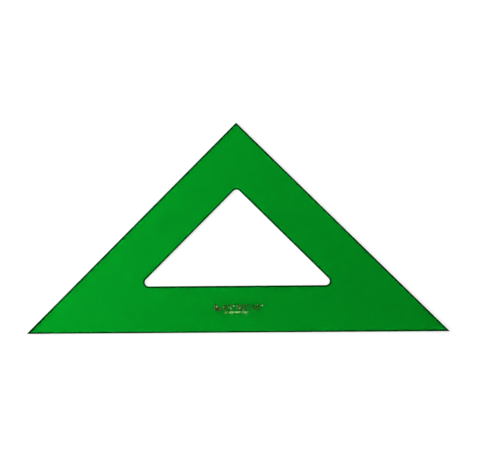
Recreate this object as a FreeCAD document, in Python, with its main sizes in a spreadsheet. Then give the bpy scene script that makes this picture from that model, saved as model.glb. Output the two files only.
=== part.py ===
import FreeCAD, Part
import os
from math import cos, pi, sqrt
import Sketcher

# A 45 degree set square: one flat plate of clear tinted acrylic with a triangular window, and a
# hot-stamped foil mark of plain angle figures on the bar between the window and the long edge.
#
# Frame, in millimetres: the plate lies flat on z = 0 with +Z up. X runs along the long edge and Y
# from the long edge to the right-angled corner. The origin is the middle of the plate's underside.

SIZES = [
    # alias, value, meaning
    ("long_edge", 280, "long edge, opposite the right angle"),
    ("band_width", 31, "bar between each outer edge and the window"),
    ("plate_thickness", 3, "thickness of the acrylic sheet"),
    ("window_corner_radius", 2.7, "left by the milling cutter"),
    ("edge_break", 0.15, "chamfer along the edges of the upper face"),
    ("outer_relief_width", 1, "relief under the outer edges, measured along the underside"),
    ("outer_relief_height", 1.3, "relief under the outer edges, measured up the edge"),
    ("window_relief_width", 1.2, "relief under the window's edges, measured along the underside"),
    ("window_relief_height", 1.6, "relief under the window's edges, measured up the edge"),
    ("foil_thickness", 0.05, "stamped foil with its lacquer"),
    ("symbol_leg", 4.8, "legs of the small triangle symbol"),
    ("symbol_bar", 1, "bar of the symbol around its own window"),
    ("symbol_gap", 0.6, "from the symbol to the upper line"),
    ("mark_offset", 1, "middle of the mark, to the right of the plate's middle"),
    ("line_gap", 0.7, "between the two lines of figures"),
    ("lower_indent", 1.5, "start of the lower line past the upper one"),
    ("upper_height", 4, "upper line: height of a figure"),
    ("upper_width", 2.6, "upper line: width of a figure"),
    ("upper_stroke", 0.55, "upper line: width of the stroke"),
    ("upper_spacing", 0.7, "upper line: from figure to figure"),
    ("upper_word_gap", 1.4, "upper line: from angle to angle"),
    ("upper_ring", 1.4, "upper line: diameter of the degree sign"),
    ("lower_height", 1.6, "lower line: height of a figure"),
    ("lower_width", 1, "lower line: width of a figure"),
    ("lower_stroke", 0.24, "lower line: width of the stroke"),
    ("lower_spacing", 0.25, "lower line: from figure to figure"),
    ("lower_word_gap", 1, "lower line: from angle to angle"),
    ("lower_ring", 0.7, "lower line: diameter of the degree sign"),
]

UPPER_TEXT = "45° 90° 45°"
LOWER_TEXT = "0° 45° 90° 135°"

# The two legs are mirror images at a right angle, so the plate is half as deep as it is long.
LONG_EDGE_Y = "-Sizes.long_edge / 4"
RIGHT_ANGLE_Y = "Sizes.long_edge / 4"

# The two lines of figures together are centred across the bar, which fixes their baselines.
TEXT_DEPTH = "(Sizes.upper_height + Sizes.line_gap + Sizes.lower_height)"
LOWER_LINE_Y = f"{LONG_EDGE_Y} + Sizes.band_width / 2 - {TEXT_DEPTH} / 2"
UPPER_LINE_Y = f"{LOWER_LINE_Y} + Sizes.lower_height + Sizes.line_gap"

UP = FreeCAD.Vector(0, 0, 1)
TINY = 1e-6


def add_sizes(doc):
    sheet = doc.addObject("Spreadsheet::Sheet", "Sizes")
    for row, (alias, value, meaning) in enumerate(SIZES, start=1):
        sheet.set(f"A{row}", meaning)
        sheet.set(f"B{row}", str(value))
        sheet.setAlias(f"B{row}", alias)
    doc.recompute()
    return sheet


# ---- The plate ----

def add_triangle_sketch(body, name, base_y, right_angle_y):
    """Right isosceles triangle about the Y axis: base at base_y, right angle at right_angle_y."""
    sketch = body.newObject("Sketcher::SketchObject", name)
    planes = {feature.Role: feature for feature in body.Origin.OriginFeatures}
    sketch.AttachmentSupport = [(planes["XY_Plane"], "")]
    sketch.MapMode = "FlatFace"

    bottom = sketch.evalExpression(base_y)
    top = sketch.evalExpression(right_angle_y)
    left_corner = FreeCAD.Vector(bottom - top, bottom, 0)
    right_corner = FreeCAD.Vector(top - bottom, bottom, 0)
    top_corner = FreeCAD.Vector(0, top, 0)
    base = sketch.addGeometry(Part.LineSegment(left_corner, right_corner), False)
    right_leg = sketch.addGeometry(Part.LineSegment(right_corner, top_corner), False)
    left_leg = sketch.addGeometry(Part.LineSegment(top_corner, left_corner), False)

    start, end = 1, 2
    y_axis = -2
    origin = (-1, 1)
    sketch.addConstraint([
        Sketcher.Constraint("Coincident", base, end, right_leg, start),
        Sketcher.Constraint("Coincident", right_leg, end, left_leg, start),
        Sketcher.Constraint("Coincident", left_leg, end, base, start),
        Sketcher.Constraint("Symmetric", base, start, base, end, y_axis),
        Sketcher.Constraint("PointOnObject", right_leg, end, y_axis),
        Sketcher.Constraint("Perpendicular", right_leg, left_leg),
    ])
    for corner, value, expression in (
        ((base, start), bottom, base_y),
        ((right_leg, end), top, right_angle_y),
    ):
        height = Sketcher.Constraint("DistanceY", *origin, *corner, value)
        number = sketch.addConstraint(height)
        sketch.setExpression(f"Constraints[{number}]", expression)
    return sketch


def window_corner_edges(shape):
    """Names of the window's upright edges, which are the ones inside the plate's box."""
    box = shape.BoundBox
    names = []
    for number, edge in enumerate(shape.Edges, start=1):
        middle = edge.CenterOfMass
        upright = abs(edge.tangentAt(edge.FirstParameter).dot(UP)) > 1 - TINY
        if upright and box.YMin + TINY < middle.y < box.YMax - TINY:
            names.append(f"Edge{number}")
    return names


def face_towards(shape, direction):
    """The plate's face that looks in a direction, and its name."""
    for number, face in enumerate(shape.Faces, start=1):
        if face.normalAt(0, 0).dot(direction) > 1 - TINY:
            return face, f"Face{number}"
    raise RuntimeError("the plate has no face in that direction")


def underside_edges(shape, of_window):
    """Names of the underside's edges, either those round the window or those round the plate."""
    underside, _ = face_towards(shape, -UP)
    names = []
    for number, edge in enumerate(shape.Edges, start=1):
        if not any(edge.isSame(other) for other in underside.Edges):
            continue
        round_plate = any(edge.isSame(other) for other in underside.OuterWire.Edges)
        if round_plate != of_window:
            names.append(f"Edge{number}")
    return names


def add_relief(body, name, base, outline):
    """Steep bevel under one outline's edges, which keeps ink from creeping under them."""
    relief = body.newObject("PartDesign::Chamfer", name)
    relief.Base = (base, underside_edges(base.Shape, of_window=outline == "window"))
    relief.ChamferType = "Two distances"
    relief.setExpression("Size", f"Sizes.{outline}_relief_width")
    relief.setExpression("Size2", f"Sizes.{outline}_relief_height")
    return relief


def add_plate(doc):
    body = doc.addObject("PartDesign::Body", "acrylic_plate")

    outline = add_triangle_sketch(body, "PlateOutline", LONG_EDGE_Y, RIGHT_ANGLE_Y)
    blank = body.newObject("PartDesign::Pad", "Blank")
    blank.Profile = outline
    blank.setExpression("Length", "Sizes.plate_thickness")
    doc.recompute()
    blank_volume = blank.Shape.Volume

    # Each side of the window lies one bar width in from the outer edge beside it. Measured down
    # the middle of the right angle, that is the square root of two bar widths.
    window_outline = add_triangle_sketch(
        body,
        "WindowOutline",
        f"{LONG_EDGE_Y} + Sizes.band_width",
        f"{RIGHT_ANGLE_Y} - sqrt(2) * Sizes.band_width",
    )
    window = body.newObject("PartDesign::Pocket", "Window")
    window.Profile = window_outline
    window.Type = "ThroughAll"
    window.Reversed = True
    doc.recompute()
    if window.Shape.Volume > blank_volume - TINY:
        raise RuntimeError("the window cuts nothing")

    corners = body.newObject("PartDesign::Fillet", "WindowCorners")
    corners.Base = (window, window_corner_edges(window.Shape))
    corners.setExpression("Radius", "Sizes.window_corner_radius")
    doc.recompute()

    _, upper_face = face_towards(corners.Shape, UP)
    upper_edges = body.newObject("PartDesign::Chamfer", "BrokenEdges")
    upper_edges.Base = (corners, [upper_face])
    upper_edges.setExpression("Size", "Sizes.edge_break")
    doc.recompute()

    outer_relief = add_relief(body, "OuterRelief", upper_edges, "outer")
    doc.recompute()
    add_relief(body, "WindowRelief", outer_relief, "window")
    doc.recompute()
    return body


# ---- The foil mark ----

def pen_paths(character, width, height):
    """Path of the pen's middle for a character, as runs (two points) and arcs (three points)."""
    bowl = width / 2
    shoulder = height - bowl
    if character == "0":
        return [
            [(0, bowl), (0, shoulder)],
            [(0, shoulder), (bowl, height), (width, shoulder)],
            [(width, shoulder), (width, bowl)],
            [(width, bowl), (bowl, 0), (0, bowl)],
        ]
    if character == "1":
        stem = 0.6 * width
        return [
            [(0.1 * width, 0.75 * height), (stem, height)],
            [(stem, height), (stem, 0)],
        ]
    if character == "3":
        radius = height / 4
        waist = (bowl, 2 * radius)
        left_end = bowl - cos(pi / 6) * radius
        right_side = bowl + radius
        return [
            [(left_end, 3.5 * radius), (right_side, 3 * radius), waist],
            [waist, (right_side, radius), (left_end, 0.5 * radius)],
        ]
    if character == "4":
        stem = 0.7 * width
        bar = 0.3 * height
        return [
            [(stem, 0), (stem, height)],
            [(stem, height), (0, bar)],
            [(0, bar), (width, bar)],
        ]
    if character == "5":
        top_left = (0.15 * width, height)
        throat = (0.08 * width, 0.54 * height)
        return [
            [(0.9 * width, height), top_left],
            [top_left, throat],
            [throat, (width, 0.3 * height), (0, 0.12 * height)],
        ]
    if character == "9":
        return [
            [(width, shoulder), (bowl, height), (0, shoulder)],
            [(0, shoulder), (bowl, shoulder - bowl), (width, shoulder)],
            [(width, shoulder), (0.85 * width, 0.3 * height), (0.25 * width, 0)],
        ]
    if character == "°":
        return [
            [(0, shoulder), (bowl, height), (width, shoulder)],
            [(width, shoulder), (bowl, shoulder - bowl), (0, shoulder)],
        ]
    raise ValueError(f"no figure for {character}")


def pen_marks(points, half_stroke):
    """Flat faces that a round pen leaves on one straight run or arc, round ends included."""
    if len(points) == 3:
        arc = Part.Arc(*points).toShape()
        return [Part.Wire([arc]).makeOffset2D(half_stroke, fill=True)]
    start, end = points
    side = UP.cross(end - start).normalize() * half_stroke
    strip = [start - side, end - side, end + side, start + side, start - side]
    discs = [Part.Face(Part.Wire(Part.makeCircle(half_stroke, point))) for point in points]
    return [Part.Face(Part.makePolygon(strip))] + discs


def character_face(paths, stroke, left):
    """One face for a character, with its left side at x = left and its foot at y = 0."""
    half_stroke = stroke / 2
    corner = FreeCAD.Vector(left + half_stroke, half_stroke, 0)
    marks = []
    for path in paths:
        marks += pen_marks([corner + FreeCAD.Vector(*point) for point in path], half_stroke)
    return marks[0].fuse(marks[1:]).removeSplitter()


def line_of_figures(sheet, text, line):
    """The faces of a line of text from x = 0 and y = 0 on, and how long the line is."""
    height, width, stroke, spacing, word_gap, ring = (
        sheet.get(f"{line}_{size}")
        for size in ("height", "width", "stroke", "spacing", "word_gap", "ring")
    )
    faces = []
    end = 0
    for word in text.split():
        left = end + word_gap if faces else 0
        for character in word:
            advance = ring if character == "°" else width
            paths = pen_paths(character, advance - stroke, height - stroke)
            faces.append(character_face(paths, stroke, left))
            end = left + advance
            left = end + spacing
    return Part.makeCompound(faces), end


def triangle_symbol(sheet):
    """A right-angled triangle with a triangular window, standing on one leg."""
    leg = sheet.get("symbol_leg")
    bar = sheet.get("symbol_bar")
    window_leg = leg - (2 + sqrt(2)) * bar
    faces = []
    for corner, length in ((0, leg), (bar, window_leg)):
        points = [(corner, corner), (corner + length, corner), (corner, corner + length)]
        wire = Part.makePolygon([FreeCAD.Vector(x, y, 0) for x, y in points + points[:1]])
        faces.append(Part.Face(wire))
    return Part.makeCompound(faces[0].cut(faces[1]).Faces)


def add_foil(doc, name, outline, length, x, y):
    """Foil of the outline on the plate's upper face, at the places that x and y work out."""
    drawing = doc.addObject("Part::Feature", f"{name}_outline")
    drawing.Shape = outline
    drawing.addProperty("App::PropertyFloat", "LineLength")
    drawing.LineLength = length
    foil = doc.addObject("Part::Extrusion", name)
    foil.Base = drawing
    foil.DirMode = "Custom"
    foil.Dir = UP
    foil.Solid = True
    foil.setExpression("LengthFwd", "Sizes.foil_thickness")
    foil.setExpression("Placement.Base.x", x)
    foil.setExpression("Placement.Base.y", y)
    foil.setExpression("Placement.Base.z", "Sizes.plate_thickness")
    return foil


def add_foil_mark(doc, sheet):
    """The symbol and the upper line side by side near the plate's middle, and the lower line."""
    upper_name = "foil_angle_figures"
    upper_length = f"{upper_name}_outline.LineLength"
    mark_length = f"(Sizes.symbol_leg + Sizes.symbol_gap + {upper_length})"
    symbol_x = f"Sizes.mark_offset - {mark_length} / 2"
    upper_x = f"{symbol_x} + Sizes.symbol_leg + Sizes.symbol_gap"
    lower_x = f"{upper_x} + Sizes.lower_indent"
    upper = line_of_figures(sheet, UPPER_TEXT, "upper")
    lower = line_of_figures(sheet, LOWER_TEXT, "lower")
    symbol = triangle_symbol(sheet), sheet.get("symbol_leg")
    return [
        add_foil(doc, upper_name, *upper, upper_x, UPPER_LINE_Y),
        add_foil(doc, "foil_direction_figures", *lower, lower_x, LOWER_LINE_Y),
        add_foil(doc, "foil_triangle_symbol", *symbol, symbol_x, UPPER_LINE_Y),
    ]


# ---- The whole set square ----

def check(doc, pieces):
    for item in doc.Objects:
        if "Invalid" in item.State or "Error" in item.State:
            raise RuntimeError(f"{item.Name} failed: {item.State}")
    for piece in pieces:
        if piece.Shape.isNull() or not piece.Shape.isValid() or not piece.Shape.Solids:
            raise RuntimeError(f"{piece.Name} has no valid solid")


def main():
    doc = FreeCAD.newDocument("SetSquare")
    sheet = add_sizes(doc)
    pieces = [add_plate(doc)] + add_foil_mark(doc, sheet)
    doc.recompute()
    check(doc, pieces)
    os.makedirs("parts", exist_ok=True)
    for piece in pieces:
        piece.Label = piece.Name
        piece.Shape.exportStep(f"parts/{piece.Label}.step")
        print(piece.Label, len(piece.Shape.Solids), "solids", round(piece.Shape.Volume, 3), "mm3")


main()
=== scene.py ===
from math import log, radians, sin

import bmesh
import bpy
from bpy.props import FloatProperty, FloatVectorProperty, PointerProperty
from mathutils import Euler, Matrix, Vector


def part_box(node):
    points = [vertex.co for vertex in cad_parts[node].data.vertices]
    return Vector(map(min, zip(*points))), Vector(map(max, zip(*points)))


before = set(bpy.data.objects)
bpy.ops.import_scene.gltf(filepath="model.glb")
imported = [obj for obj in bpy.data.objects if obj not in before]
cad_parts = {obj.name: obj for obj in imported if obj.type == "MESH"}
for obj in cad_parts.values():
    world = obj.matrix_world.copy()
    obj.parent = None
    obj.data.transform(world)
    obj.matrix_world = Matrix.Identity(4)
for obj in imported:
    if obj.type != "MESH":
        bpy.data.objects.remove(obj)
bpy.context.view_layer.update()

bl_info = {
    "name": "Set Square Finishes",
    "version": (1, 0, 0),
    "blender": (4, 5, 0),
    "location": "View3D > Sidebar > Set Square",
    "description": "Gives a transparent drawing set square its acrylic, its stamped foil and a studio",
    "category": "Material",
}

PLATE_NODE = "acrylic_plate"
SYMBOL_NODE = "foil_triangle_symbol"
UPPER_LINE_NODE = "foil_angle_figures"
LOWER_LINE_NODE = "foil_direction_figures"
PLATE_LOW, PLATE_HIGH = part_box(PLATE_NODE)
PLATE_THICKNESS = PLATE_HIGH.z - PLATE_LOW.z


# ---------------------------------------------------------------- sizes and colours to change


class PlateSettings(bpy.types.PropertyGroup):
    """The transparent sheet that the set square is cut from."""

    surface_tint: FloatVectorProperty(
        name="Surface tint",
        description="Share of red, green and blue that one pass through both faces lets by",
        subtype="COLOR",
        size=3,
        min=0.0,
        max=1.0,
        default=(0.25, 0.85, 0.42),
    )
    through_tint: FloatVectorProperty(
        name="Through tint",
        description="Share of red, green and blue left after the sheet's thickness of dyed acrylic",
        subtype="COLOR",
        size=3,
        min=0.001,
        max=1.0,
        default=(0.176, 0.79, 0.40),
    )
    # Painted shade: a darker tint that the milled edges take in patches.
    edge_shade_tint: FloatVectorProperty(
        name="Edge tint",
        description="Share of red, green and blue that the milled edges let by, greyed by pencil lead",
        subtype="COLOR",
        size=3,
        min=0.0,
        max=1.0,
        default=(0.10, 0.34, 0.17),
    )
    # Painted shade: the dark colour of the edges at the two sharp tips.
    tip_shade_colour: FloatVectorProperty(
        name="Lead colour",
        description="Colour of the pencil lead that cakes the edges at the two sharp tips",
        subtype="COLOR",
        size=3,
        min=0.0,
        max=1.0,
        default=(0.05, 0.08, 0.05),
    )
    # Length of the painted shade along the edges from each sharp tip.
    tip_shade_length: FloatProperty(
        name="Caked length",
        description="Length of the edges, from each sharp tip, on which pencil lead has caked",
        subtype="DISTANCE",
        unit="LENGTH",
        min=0.001,
        default=0.019,
    )
    refraction: FloatProperty(
        name="Refractive index",
        description="Index of refraction of acrylic",
        min=1.0,
        max=2.0,
        default=1.49,
    )
    face_roughness: FloatProperty(
        name="Face roughness",
        description="Roughness of the cast, polished faces where nothing has rubbed them",
        subtype="FACTOR",
        min=0.0,
        max=1.0,
        default=0.03,
    )
    edge_roughness: FloatProperty(
        name="Edge roughness",
        description="Roughness of the milled edges and of their broken corners",
        subtype="FACTOR",
        min=0.0,
        max=1.0,
        default=0.28,
    )
    cutter_pitch: FloatProperty(
        name="Cutter pitch",
        description="Spacing of the upright marks that the milling cutter leaves along an edge",
        subtype="DISTANCE",
        unit="LENGTH",
        min=0.0001,
        default=0.0007,
    )
    rub_width: FloatProperty(
        name="Rub width",
        description="Width of the hairline rubs left on the faces by use",
        subtype="DISTANCE",
        unit="LENGTH",
        min=0.00005,
        default=0.0003,
    )
    mark_depth: FloatProperty(
        name="Mark depth",
        description="Depth of the cutter's marks on the edges and of the rubs on the faces",
        subtype="DISTANCE",
        unit="LENGTH",
        min=0.0,
        default=0.000004,
    )


class FoilSettings(bpy.types.PropertyGroup):
    """The hot-stamped foil of the symbol and of the two lines of figures."""

    # Painted highlight: the lighter gold of the foil's glint patches.
    gold: FloatVectorProperty(
        name="Gold",
        description="Colour of the foil where it has been rubbed matt",
        subtype="COLOR",
        size=3,
        min=0.0,
        max=1.0,
        default=(0.46, 0.66, 0.30),
    )
    # Painted shade: a darker copy of the foil's gold, beside the real reflection of the dark lens
    # opening.
    shaded_bronze: FloatVectorProperty(
        name="Bronze",
        description="Colour of the foil where it is still bright and mirrors the dark lens opening",
        subtype="COLOR",
        size=3,
        min=0.0,
        max=1.0,
        default=(0.30, 0.24, 0.09),
    )
    # Painted highlight: a paler colour that makes the lower line brighter than the other foil.
    lower_highlight_colour: FloatVectorProperty(
        name="Pale gold",
        description="Colour of the lower line, whose thin foil lets the green through",
        subtype="COLOR",
        size=3,
        min=0.0,
        max=1.0,
        default=(0.38, 0.90, 0.30),
    )
    mottle: FloatProperty(
        name="Mottle",
        description="Size of the patches in which the foil has been rubbed",
        subtype="DISTANCE",
        unit="LENGTH",
        min=0.0001,
        default=0.0009,
    )
    bright_roughness: FloatProperty(
        name="Bright roughness",
        description="Roughness of the foil where it is still bright",
        subtype="FACTOR",
        min=0.0,
        max=1.0,
        default=0.22,
    )
    matt_roughness: FloatProperty(
        name="Matt roughness",
        description="Roughness of the foil where it has been rubbed",
        subtype="FACTOR",
        min=0.0,
        max=1.0,
        default=0.6,
    )
    grain_depth: FloatProperty(
        name="Grain depth",
        description="Depth of the fine grain that the stamp leaves in the foil",
        subtype="DISTANCE",
        unit="LENGTH",
        min=0.0,
        default=0.00001,
    )
    # Share of the symbol and upper line that gets the lighter, rougher glint patches: painted
    # highlight.
    rubbed: FloatProperty(
        name="Rubbed",
        description="Share of the symbol and of the upper line that has been rubbed matt",
        subtype="FACTOR",
        min=0.0,
        max=1.0,
        default=0.25,
    )
    # Share of the lower line that gets the lighter, rougher glint patches: painted highlight.
    lower_glint_share: FloatProperty(
        name="Lower line rubbed",
        description="Share of the lower line that has been rubbed matt",
        subtype="FACTOR",
        min=0.0,
        max=1.0,
        default=0.42,
    )
    # Less metal, together with the paler colour, brightens the lower line as painted highlight.
    lower_metal: FloatProperty(
        name="Lower line metal",
        description="How much metal is left in the thin foil of the lower line",
        subtype="FACTOR",
        min=0.0,
        max=1.0,
        default=0.3,
    )


class StageSettings(bpy.types.PropertyGroup):
    """The floor, the lights and the camera."""

    floor_colour: FloatVectorProperty(
        name="Floor",
        description="Colour of the plain floor",
        subtype="COLOR",
        size=3,
        min=0.0,
        max=1.0,
        default=(0.86, 0.86, 0.86),
    )
    floor_evenness: FloatProperty(
        name="Floor evenness",
        description="Share of even white in the floor as the lens sees it, which keeps shadows faint",
        subtype="FACTOR",
        min=0.0,
        max=1.0,
        default=0.75,
    )
    floor_white: FloatProperty(
        name="Floor white",
        description="Brightness of the floor's even white",
        min=0.0,
        default=1.05,
    )
    floor_radius: FloatProperty(
        name="Floor radius",
        description="Radius of the round floor",
        subtype="DISTANCE",
        unit="LENGTH",
        default=6.0,
    )
    floor_gap: FloatProperty(
        name="Floor gap",
        description="Film of air between the floor and the underside of the sheet",
        subtype="DISTANCE",
        unit="LENGTH",
        default=0.00003,
    )
    horizon_light: FloatProperty(
        name="Horizon light",
        description="Brightness of the studio where it meets the floor",
        min=0.0,
        default=0.935,
    )
    wall_light: FloatProperty(
        name="Wall light",
        description="Brightness of the studio walls",
        min=0.0,
        default=0.32,
    )
    tent_light: FloatProperty(
        name="Tent light",
        description="Brightness of the light tent round the camera's opening",
        min=0.0,
        default=1.22,
    )
    lamp_place: FloatVectorProperty(
        name="Lamp place",
        description="Middle of the soft lamp, from the middle of the set square",
        subtype="TRANSLATION",
        unit="LENGTH",
        size=3,
        default=(-0.36, 0.05, 0.42),
    )
    lamp_size: FloatProperty(
        name="Lamp size",
        description="Side of the square soft lamp",
        subtype="DISTANCE",
        unit="LENGTH",
        default=0.26,
    )
    lamp_power: FloatProperty(
        name="Lamp power",
        description="Power of the soft lamp",
        subtype="POWER",
        unit="POWER",
        min=0.0,
        default=3.25,
    )
    lens: FloatProperty(
        name="Lens",
        description="Focal length of the camera's lens",
        subtype="DISTANCE_CAMERA",
        unit="CAMERA",
        default=113.2,
    )
    camera_distance: FloatProperty(
        name="Camera distance",
        description="Distance from the lens to the middle of the set square",
        subtype="DISTANCE",
        unit="LENGTH",
        default=0.9995,
    )
    camera_aside: FloatVectorProperty(
        name="Off the axis",
        description="Where the middle of the set square lies, to the right of and above the lens axis",
        subtype="TRANSLATION",
        unit="LENGTH",
        size=2,
        default=(-0.00112, 0.00111),
    )
    lean: FloatVectorProperty(
        name="Lean",
        description="How the set square leans away from square to the lens, about X, Y and Z",
        subtype="EULER",
        unit="ROTATION",
        size=3,
        default=(radians(-4.349), radians(-1.746), radians(0.493)),
    )


# ---------------------------------------------------------------- shader nodes


# Sockets that share their name with another on the same node, and are told by their number: the
# two colours and the result of a Mix node that mixes colours, and the two shaders of a Mix Shader.
FIRST_COLOUR = 6
SECOND_COLOUR = 7
MIXED_COLOUR = 2
FIRST_SHADER = 1
SECOND_SHADER = 2


class Varying:
    """A number that varies over a surface. Sums on it add Math nodes to its tree."""

    def __init__(self, tree, socket):
        self.tree = tree
        self.socket = socket

    def math(self, operation, *terms):
        """The result of one Math node on these terms, which are numbers or varying numbers."""
        node = self.tree.add("Math", {"operation": operation}, dict(enumerate(terms)))
        return Varying(self.tree, node.outputs["Value"])

    def __add__(self, other):
        return self.math("ADD", self, other)

    def __radd__(self, other):
        return self.math("ADD", other, self)

    def __sub__(self, other):
        return self.math("SUBTRACT", self, other)

    def __rsub__(self, other):
        return self.math("SUBTRACT", other, self)

    def __mul__(self, other):
        return self.math("MULTIPLY", self, other)

    def __rmul__(self, other):
        return self.math("MULTIPLY", other, self)

    def __abs__(self):
        return self.math("ABSOLUTE", self)

    def below(self, limit):
        """1 where the number is below the limit, and 0 elsewhere."""
        return self.math("LESS_THAN", self, limit)

    def swing(self, size):
        """A factor about 1 that swings by this size in all as the number runs from 0 to 1."""
        return (1.0 - size / 2.0) + size * self

    def ramp(self, low, high):
        """0 at low and 1 at high, with a smooth run between, and level beyond them."""
        node = self.tree.add(
            "MapRange",
            {"interpolation_type": "SMOOTHSTEP"},
            {"Value": self, "From Min": low, "From Max": high},
        )
        return Varying(self.tree, node.outputs["Result"])


class Tree:
    """The node tree of a material or of the world, emptied and filled again."""

    def __init__(self, owner):
        owner.use_nodes = True
        self.nodes = owner.node_tree.nodes
        self.links = owner.node_tree.links
        self.nodes.clear()

    def add(self, kind, settings=None, sockets=None):
        """A new node: its type, then its settings, then the values or links of its sockets."""
        node = self.nodes.new("ShaderNode" + kind)
        for name, value in (settings or {}).items():
            setattr(node, name, value)
        for name, value in (sockets or {}).items():
            self.feed(node.inputs[name], value)
        return node

    def feed(self, socket, value):
        """Links a varying number or another node's output to the socket, or sets a plain value."""
        if isinstance(value, Varying):
            value = value.socket
        if isinstance(value, bpy.types.NodeSocket):
            self.links.new(value, socket)
        else:
            socket.default_value = value

    def place(self, scale=(1.0, 1.0, 1.0), turn=0.0):
        """The place on the piece in metres, turned about Z and stretched by a scale for each axis."""
        here = self.add("TexCoord").outputs["Object"]
        mapping = self.add(
            "Mapping",
            {"vector_type": "TEXTURE"},
            {"Vector": here, "Rotation": (0.0, 0.0, turn), "Scale": scale},
        )
        return mapping.outputs["Vector"]

    def noise(self, place, detail=2.0, roughness=0.5):
        """Cloudy noise between about 0.2 and 0.8 with patches about one unit of the place across."""
        node = self.add(
            "TexNoise",
            {"noise_dimensions": "3D"},
            {"Vector": place, "Scale": 1.0, "Detail": detail, "Roughness": roughness},
        )
        return Varying(self, node.outputs["Fac"])

    def along(self, axis, vector):
        """How far a vector reaches along one axis."""
        parts = self.add("SeparateXYZ", {}, {"Vector": vector})
        return Varying(self, parts.outputs[axis])

    def facing_up(self):
        """1 where the surface faces straight up, 0 where it is upright and -1 where it faces down."""
        return self.along("Z", self.add("TexCoord").outputs["Normal"])

    def mix_colours(self, share, first, second):
        """The first colour where the share is 0, and the second where it is 1."""
        node = self.add(
            "Mix",
            {"data_type": "RGBA"},
            {"Factor": share, FIRST_COLOUR: first, SECOND_COLOUR: second},
        )
        return node.outputs[MIXED_COLOUR]

    def bump(self, height, depth):
        """A normal for a surface that rises and falls by the depth, in metres."""
        node = self.add("Bump", {}, {"Height": height, "Strength": 1.0, "Distance": depth})
        return node.outputs["Normal"]

    def finish(self, surface, volume=None):
        """Links the surface, and the volume where there is one, to the material's output."""
        output = self.add("OutputMaterial", {}, {"Surface": surface})
        if volume is not None:
            self.feed(output.inputs["Volume"], volume)


def opaque(colour):
    """A colour's three numbers, with an alpha of 1."""
    return (*colour, 1.0)


def even(size):
    """A scale that is the same along each axis."""
    return (size, size, size)


# ---------------------------------------------------------------- finishes


# How far a surface faces up: the flat faces lie above the first, and the broken upper edges
# between the two.
FACE_LIMIT = 0.95
BROKEN_EDGE_LIMIT = 0.5

# Finger smudges and hairline rubs on the faces.
SMUDGE_SIZE = 0.03
SMUDGE_DETAIL = 3.0
SMUDGE_SWING = 0.8
RUB_LENGTH = 0.04
RUB_DETAIL = 0.0
RUB_TURNS = (radians(24.0), radians(-37.0), radians(81.0))
RUB_START = 0.74
RUB_FULL = 0.80
RUB_ROUGHNESS = 0.12
RUB_HEIGHT = 0.5

# The cutter's marks on the edges.
CUTTER_MARK_LENGTH = 0.02
CUTTER_SWING = 0.6

# Painted shade on the edges: thin dark patches on the milled edges, and a dark, partly metallic cake
# at the sharp tips, which is whole over a share of its length, ends raggedly and covers a share of
# the edge. Its dark colour is whole where the cake is still thin.
SHADE_PATCH_SIZE = 0.012
EDGE_SHADE_START = 0.25
EDGE_SHADE_FULL = 0.6
TIP_SHADE_SOLID = 0.35
TIP_SHADE_RAGGED = 0.4
TIP_SHADE_METAL = 0.65
TIP_SHADE_COLOUR_FULL = 0.3

# The foil: its fine grain, and its lighter, rougher patches, which are painted glints and take up
# more of it as the noise that they stand out from is cut off lower.
ALL_METAL = 1.0
GRAINS_ACROSS_PATCH = 6.0
GRAIN_DETAIL = 1.0
GRAIN_SWING = 0.6
PATCH_NOISE_ROUGHNESS = 0.6
PATCH_NOISE_LOW = 0.28
PATCH_NOISE_HIGH = 0.72
PATCH_BLUR = 0.06


def hairline_rubs(tree, width):
    """1 on a few long, thin rubs that cross the faces in three directions, and 0 elsewhere."""
    rubs = 0.0
    for turn in RUB_TURNS:
        streaks = tree.noise(tree.place((RUB_LENGTH, width, RUB_LENGTH), turn), detail=RUB_DETAIL)
        rubs = rubs + streaks.ramp(RUB_START, RUB_FULL)
    return rubs


def edge_and_tip_shade(tree, edge, tip_shade_length):
    """Painted shade: dark patches on the milled edges, and how thickly it darkens the sharp tips."""
    patches = tree.noise(tree.place(even(SHADE_PATCH_SIZE)))
    edge_shade_patches = patches.ramp(EDGE_SHADE_START, EDGE_SHADE_FULL)
    from_tip = (PLATE_HIGH.x - abs(tree.along("X", tree.place()))) * patches.swing(TIP_SHADE_RAGGED)
    # The painted shade at the tips is solid near each tip and ends raggedly.
    tip_unshaded = from_tip.ramp(TIP_SHADE_SOLID * tip_shade_length, tip_shade_length)
    return edge_shade_patches, edge * (1.0 - tip_unshaded)


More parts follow.
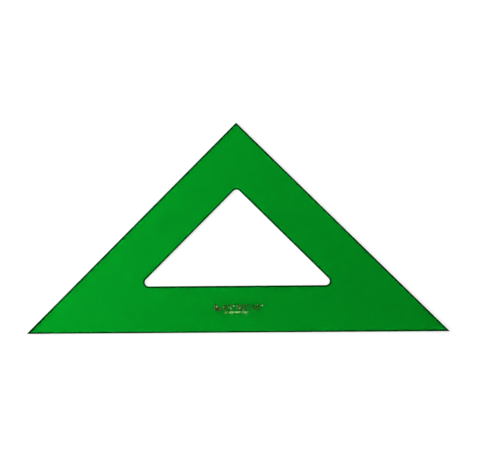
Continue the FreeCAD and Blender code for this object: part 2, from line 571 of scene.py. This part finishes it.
def dyed_acrylic(settings):
    """Cast acrylic dyed green all through, with polished faces and milled edges, and painted shade on
    the edges and tips.
    """
    material = bpy.data.materials.new("dyed_acrylic")
    tree = Tree(material)
    facing_up = tree.facing_up()
    edge = abs(facing_up).below(FACE_LIMIT)
    milled = edge * facing_up.below(BROKEN_EDGE_LIMIT)
    # Painted shade: dark patches on the milled edges, and a mask (caked) for the darker, partly
    # metallic sharp tips.
    edge_shade_patches, caked = edge_and_tip_shade(tree, edge, settings.tip_shade_length)
    tip_shade_colouring = caked.ramp(0.0, TIP_SHADE_COLOUR_FULL)
    clean, greyed = opaque(settings.surface_tint), opaque(settings.edge_shade_tint)
    # The milled edges take the darker edge tint in patches: painted shade.
    dyed = tree.mix_colours(milled * edge_shade_patches, clean, greyed)
    smudges = tree.noise(tree.place(even(SMUDGE_SIZE)), detail=SMUDGE_DETAIL)
    rubs = hairline_rubs(tree, settings.rub_width)
    cutter_pitch = settings.cutter_pitch
    cutter_marks = tree.noise(tree.place((cutter_pitch, cutter_pitch, CUTTER_MARK_LENGTH)))
    face_roughness = settings.face_roughness * smudges.swing(SMUDGE_SWING) + RUB_ROUGHNESS * rubs
    edge_roughness = settings.edge_roughness * cutter_marks.swing(CUTTER_SWING)
    height = RUB_HEIGHT * rubs * (1.0 - edge) + cutter_marks * edge
    shader = tree.add(
        "BsdfPrincipled",
        {},
        {
            # Base colour and metal: the dye, with painted shade on the milled edges and at the sharp
            # tips.
            "Base Color": tree.mix_colours(tip_shade_colouring, dyed, opaque(settings.tip_shade_colour)),
            "Metallic": TIP_SHADE_METAL * caked,
            "Roughness": face_roughness * (1.0 - edge) + edge_roughness * edge,
            "IOR": settings.refraction,
            "Transmission Weight": 1.0,
            "Normal": tree.bump(height, settings.mark_depth),
        },
    )
    densest = min(settings.through_tint)
    density = -log(densest) / PLATE_THICKNESS
    kept = [1.0 - log(share) / log(densest) for share in settings.through_tint]
    dye = tree.add("VolumeAbsorption", {}, {"Color": opaque(kept), "Density": density})
    tree.finish(shader.outputs["BSDF"], dye.outputs["Volume"])
    return material


def stamped_foil(name, settings, glint_colour, rubbed, metal):
    """Foil pressed onto the sheet: dark bronze, painted shade, and over a share of it lighter, rougher
    patches, painted glints.
    """
    material = bpy.data.materials.new(name)
    tree = Tree(material)
    patches = tree.noise(tree.place(even(settings.mottle)), roughness=PATCH_NOISE_ROUGHNESS)
    grain_size = settings.mottle / GRAINS_ACROSS_PATCH
    grain = tree.noise(tree.place(even(grain_size)), detail=GRAIN_DETAIL)
    limit = PATCH_NOISE_HIGH + (PATCH_NOISE_LOW - PATCH_NOISE_HIGH) * rubbed
    glint_patches = patches.ramp(limit - PATCH_BLUR, limit + PATCH_BLUR)
    more_rough = settings.matt_roughness - settings.bright_roughness
    shader = tree.add(
        "BsdfPrincipled",
        {},
        {
            # Painted light: dark bronze where the foil mirrors the lens opening, lighter colour in the
            # glint patches.
            "Base Color": tree.mix_colours(glint_patches, opaque(settings.shaded_bronze), opaque(glint_colour)),
            "Metallic": metal,
            "Roughness": settings.bright_roughness * grain.swing(GRAIN_SWING) + more_rough * glint_patches,
            "Normal": tree.bump(grain, settings.grain_depth),
        },
    )
    tree.finish(shader.outputs["BSDF"])
    return material


def dress(node_name, material):
    """Puts a finish on a CAD node in place of its plain one."""
    if node_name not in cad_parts:
        raise RuntimeError("the packed model has no node named " + node_name)
    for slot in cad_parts[node_name].material_slots:
        slot.material = material


# ---------------------------------------------------------------- stage


FLOOR_SIDES = 96
FLOOR_ROUGHNESS = 0.7
FLOOR_SHINE = 0.2
WHITE = (1.0, 1.0, 1.0)

# Degrees above the horizon at which each part of the light tent begins and is full.
WALLS_FROM = (6.5, 10.0)
ROOF_FROM = (30.0, 38.0)
OPENING_FROM = (58.0, 64.0)
OPENING_LIGHT = 0.0

SENSOR_WIDTH = 36.0
NEAREST_SEEN = 0.05
FURTHEST_SEEN = 50.0


def make_floor(settings):
    """A round, plain, pale floor just under the set square."""
    mesh = bpy.data.meshes.new("floor")
    shape = bmesh.new()
    bmesh.ops.create_circle(shape, cap_ends=True, segments=FLOOR_SIDES, radius=settings.floor_radius)
    shape.to_mesh(mesh)
    shape.free()
    floor = bpy.data.objects.new("floor", mesh)
    floor.location.z = PLATE_LOW.z - settings.floor_gap
    bpy.context.scene.collection.objects.link(floor)
    material = bpy.data.materials.new("floor_paint")
    tree = Tree(material)
    paint = tree.add(
        "BsdfPrincipled",
        {},
        {
            "Base Color": opaque(settings.floor_colour),
            "Roughness": FLOOR_ROUGHNESS,
            "Specular IOR Level": FLOOR_SHINE,
        },
    )
    white = tree.add("Emission", {}, {"Color": opaque(WHITE), "Strength": settings.floor_white})
    seen_directly = Varying(tree, tree.add("LightPath").outputs["Is Camera Ray"])
    surface = tree.add(
        "MixShader",
        {},
        {
            "Fac": seen_directly * settings.floor_evenness,
            FIRST_SHADER: paint.outputs["BSDF"],
            SECOND_SHADER: white.outputs["Emission"],
        },
    )
    tree.finish(surface.outputs["Shader"])
    mesh.materials.append(material)


def make_tent(settings):
    """The world as a light tent: dim walls, a brighter roof, and a dark opening for the lens."""
    world = bpy.data.worlds.new("light_tent")
    bpy.context.scene.world = world
    tree = Tree(world)
    height = tree.along("Z", tree.add("TexCoord").outputs["Generated"])
    parts_of_tent = (
        (WALLS_FROM, settings.wall_light),
        (ROOF_FROM, settings.tent_light),
        (OPENING_FROM, OPENING_LIGHT),
    )
    light = settings.horizon_light
    for (begin, full), brightness in parts_of_tent:
        share = height.ramp(sin(radians(begin)), sin(radians(full)))
        light = light * (1.0 - share) + brightness * share
    tent = tree.add("Background", {}, {"Color": opaque(WHITE), "Strength": light})
    tree.add("OutputWorld", {}, {"Surface": tent.outputs["Background"]})


def make_lamp(settings):
    """A soft lamp close by on the left, so that the light falls off to the right."""
    data = bpy.data.lights.new("soft_lamp", "AREA")
    data.shape = "SQUARE"
    data.size = settings.lamp_size
    data.energy = settings.lamp_power
    lamp = bpy.data.objects.new("soft_lamp", data)
    place = Vector(settings.lamp_place)
    aim = (-place).to_track_quat("-Z", "Y").to_matrix().to_4x4()
    lamp.matrix_world = Matrix.Translation(place) @ aim
    lamp.visible_camera = False
    bpy.context.scene.collection.objects.link(lamp)


def make_camera(settings):
    """A long lens nearly straight above the set square."""
    data = bpy.data.cameras.new("camera")
    data.sensor_width = SENSOR_WIDTH
    data.lens = settings.lens
    data.clip_start = NEAREST_SEEN
    data.clip_end = FURTHEST_SEEN
    camera = bpy.data.objects.new("camera", data)
    aside = Vector((*settings.camera_aside, -settings.camera_distance))
    lean = Euler(settings.lean, "XYZ").to_matrix().to_4x4()
    camera.matrix_world = (Matrix.Translation(aside) @ lean).inverted()
    bpy.context.scene.collection.objects.link(camera)
    bpy.context.scene.camera = camera


# ---------------------------------------------------------------- operators and panel


class SETSQUARE_OT_dress_plate(bpy.types.Operator):
    """Gives the sheet its green acrylic"""

    bl_idname = "setsquare.dress_plate"
    bl_label = "Dress the acrylic sheet"

    def execute(self, context):
        dress(PLATE_NODE, dyed_acrylic(context.scene.set_square_plate))
        return {"FINISHED"}


class SETSQUARE_OT_dress_foil(bpy.types.Operator):
    """Gives the symbol and the two lines of figures their stamped foil"""

    bl_idname = "setsquare.dress_foil"
    bl_label = "Dress the stamped foil"

    def execute(self, context):
        foil = context.scene.set_square_foil
        # The symbol and the upper line: dark bronze with lighter glint patches, painted light.
        symbol = stamped_foil("symbol_foil", foil, foil.gold, foil.rubbed, ALL_METAL)
        upper = stamped_foil("figure_foil", foil, foil.gold, foil.rubbed, ALL_METAL)
        # The lower line: paler, less metallic foil as painted highlight.
        lower = stamped_foil("pale_foil", foil, foil.lower_highlight_colour, foil.lower_glint_share, foil.lower_metal)
        dress(SYMBOL_NODE, symbol)
        dress(UPPER_LINE_NODE, upper)
        dress(LOWER_LINE_NODE, lower)
        return {"FINISHED"}


class SETSQUARE_OT_make_stage(bpy.types.Operator):
    """Makes the floor, the light tent, the soft lamp and the camera"""

    bl_idname = "setsquare.make_stage"
    bl_label = "Make the stage"

    def execute(self, context):
        stage = context.scene.set_square_stage
        make_floor(stage)
        make_tent(stage)
        make_lamp(stage)
        make_camera(stage)
        context.scene.view_settings.view_transform = "Standard"
        return {"FINISHED"}


OPERATORS = (SETSQUARE_OT_dress_plate, SETSQUARE_OT_dress_foil, SETSQUARE_OT_make_stage)


class SETSQUARE_PT_panel(bpy.types.Panel):
    """Lists the steps that finish the set square"""

    bl_idname = "SETSQUARE_PT_panel"
    bl_label = "Set Square"
    bl_space_type = "VIEW_3D"
    bl_region_type = "UI"
    bl_category = "Set Square"

    def draw(self, context):
        for operator in OPERATORS:
            self.layout.operator(operator.bl_idname)


SETTINGS = {
    "set_square_plate": PlateSettings,
    "set_square_foil": FoilSettings,
    "set_square_stage": StageSettings,
}
CLASSES = (*SETTINGS.values(), *OPERATORS, SETSQUARE_PT_panel)


def register():
    """Adds the classes to Blender, and their settings to each scene."""
    for one in CLASSES:
        bpy.utils.register_class(one)
    for name, group in SETTINGS.items():
        setattr(bpy.types.Scene, name, PointerProperty(type=group))


def unregister():
    """Takes the settings and the classes out of Blender again."""
    for name in SETTINGS:
        delattr(bpy.types.Scene, name)
    for one in reversed(CLASSES):
        bpy.utils.unregister_class(one)


def main():
    """Registers the add-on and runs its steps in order."""
    register()
    bpy.ops.setsquare.dress_plate()
    bpy.ops.setsquare.dress_foil()
    bpy.ops.setsquare.make_stage()


if __name__ == "__main__":
    main()
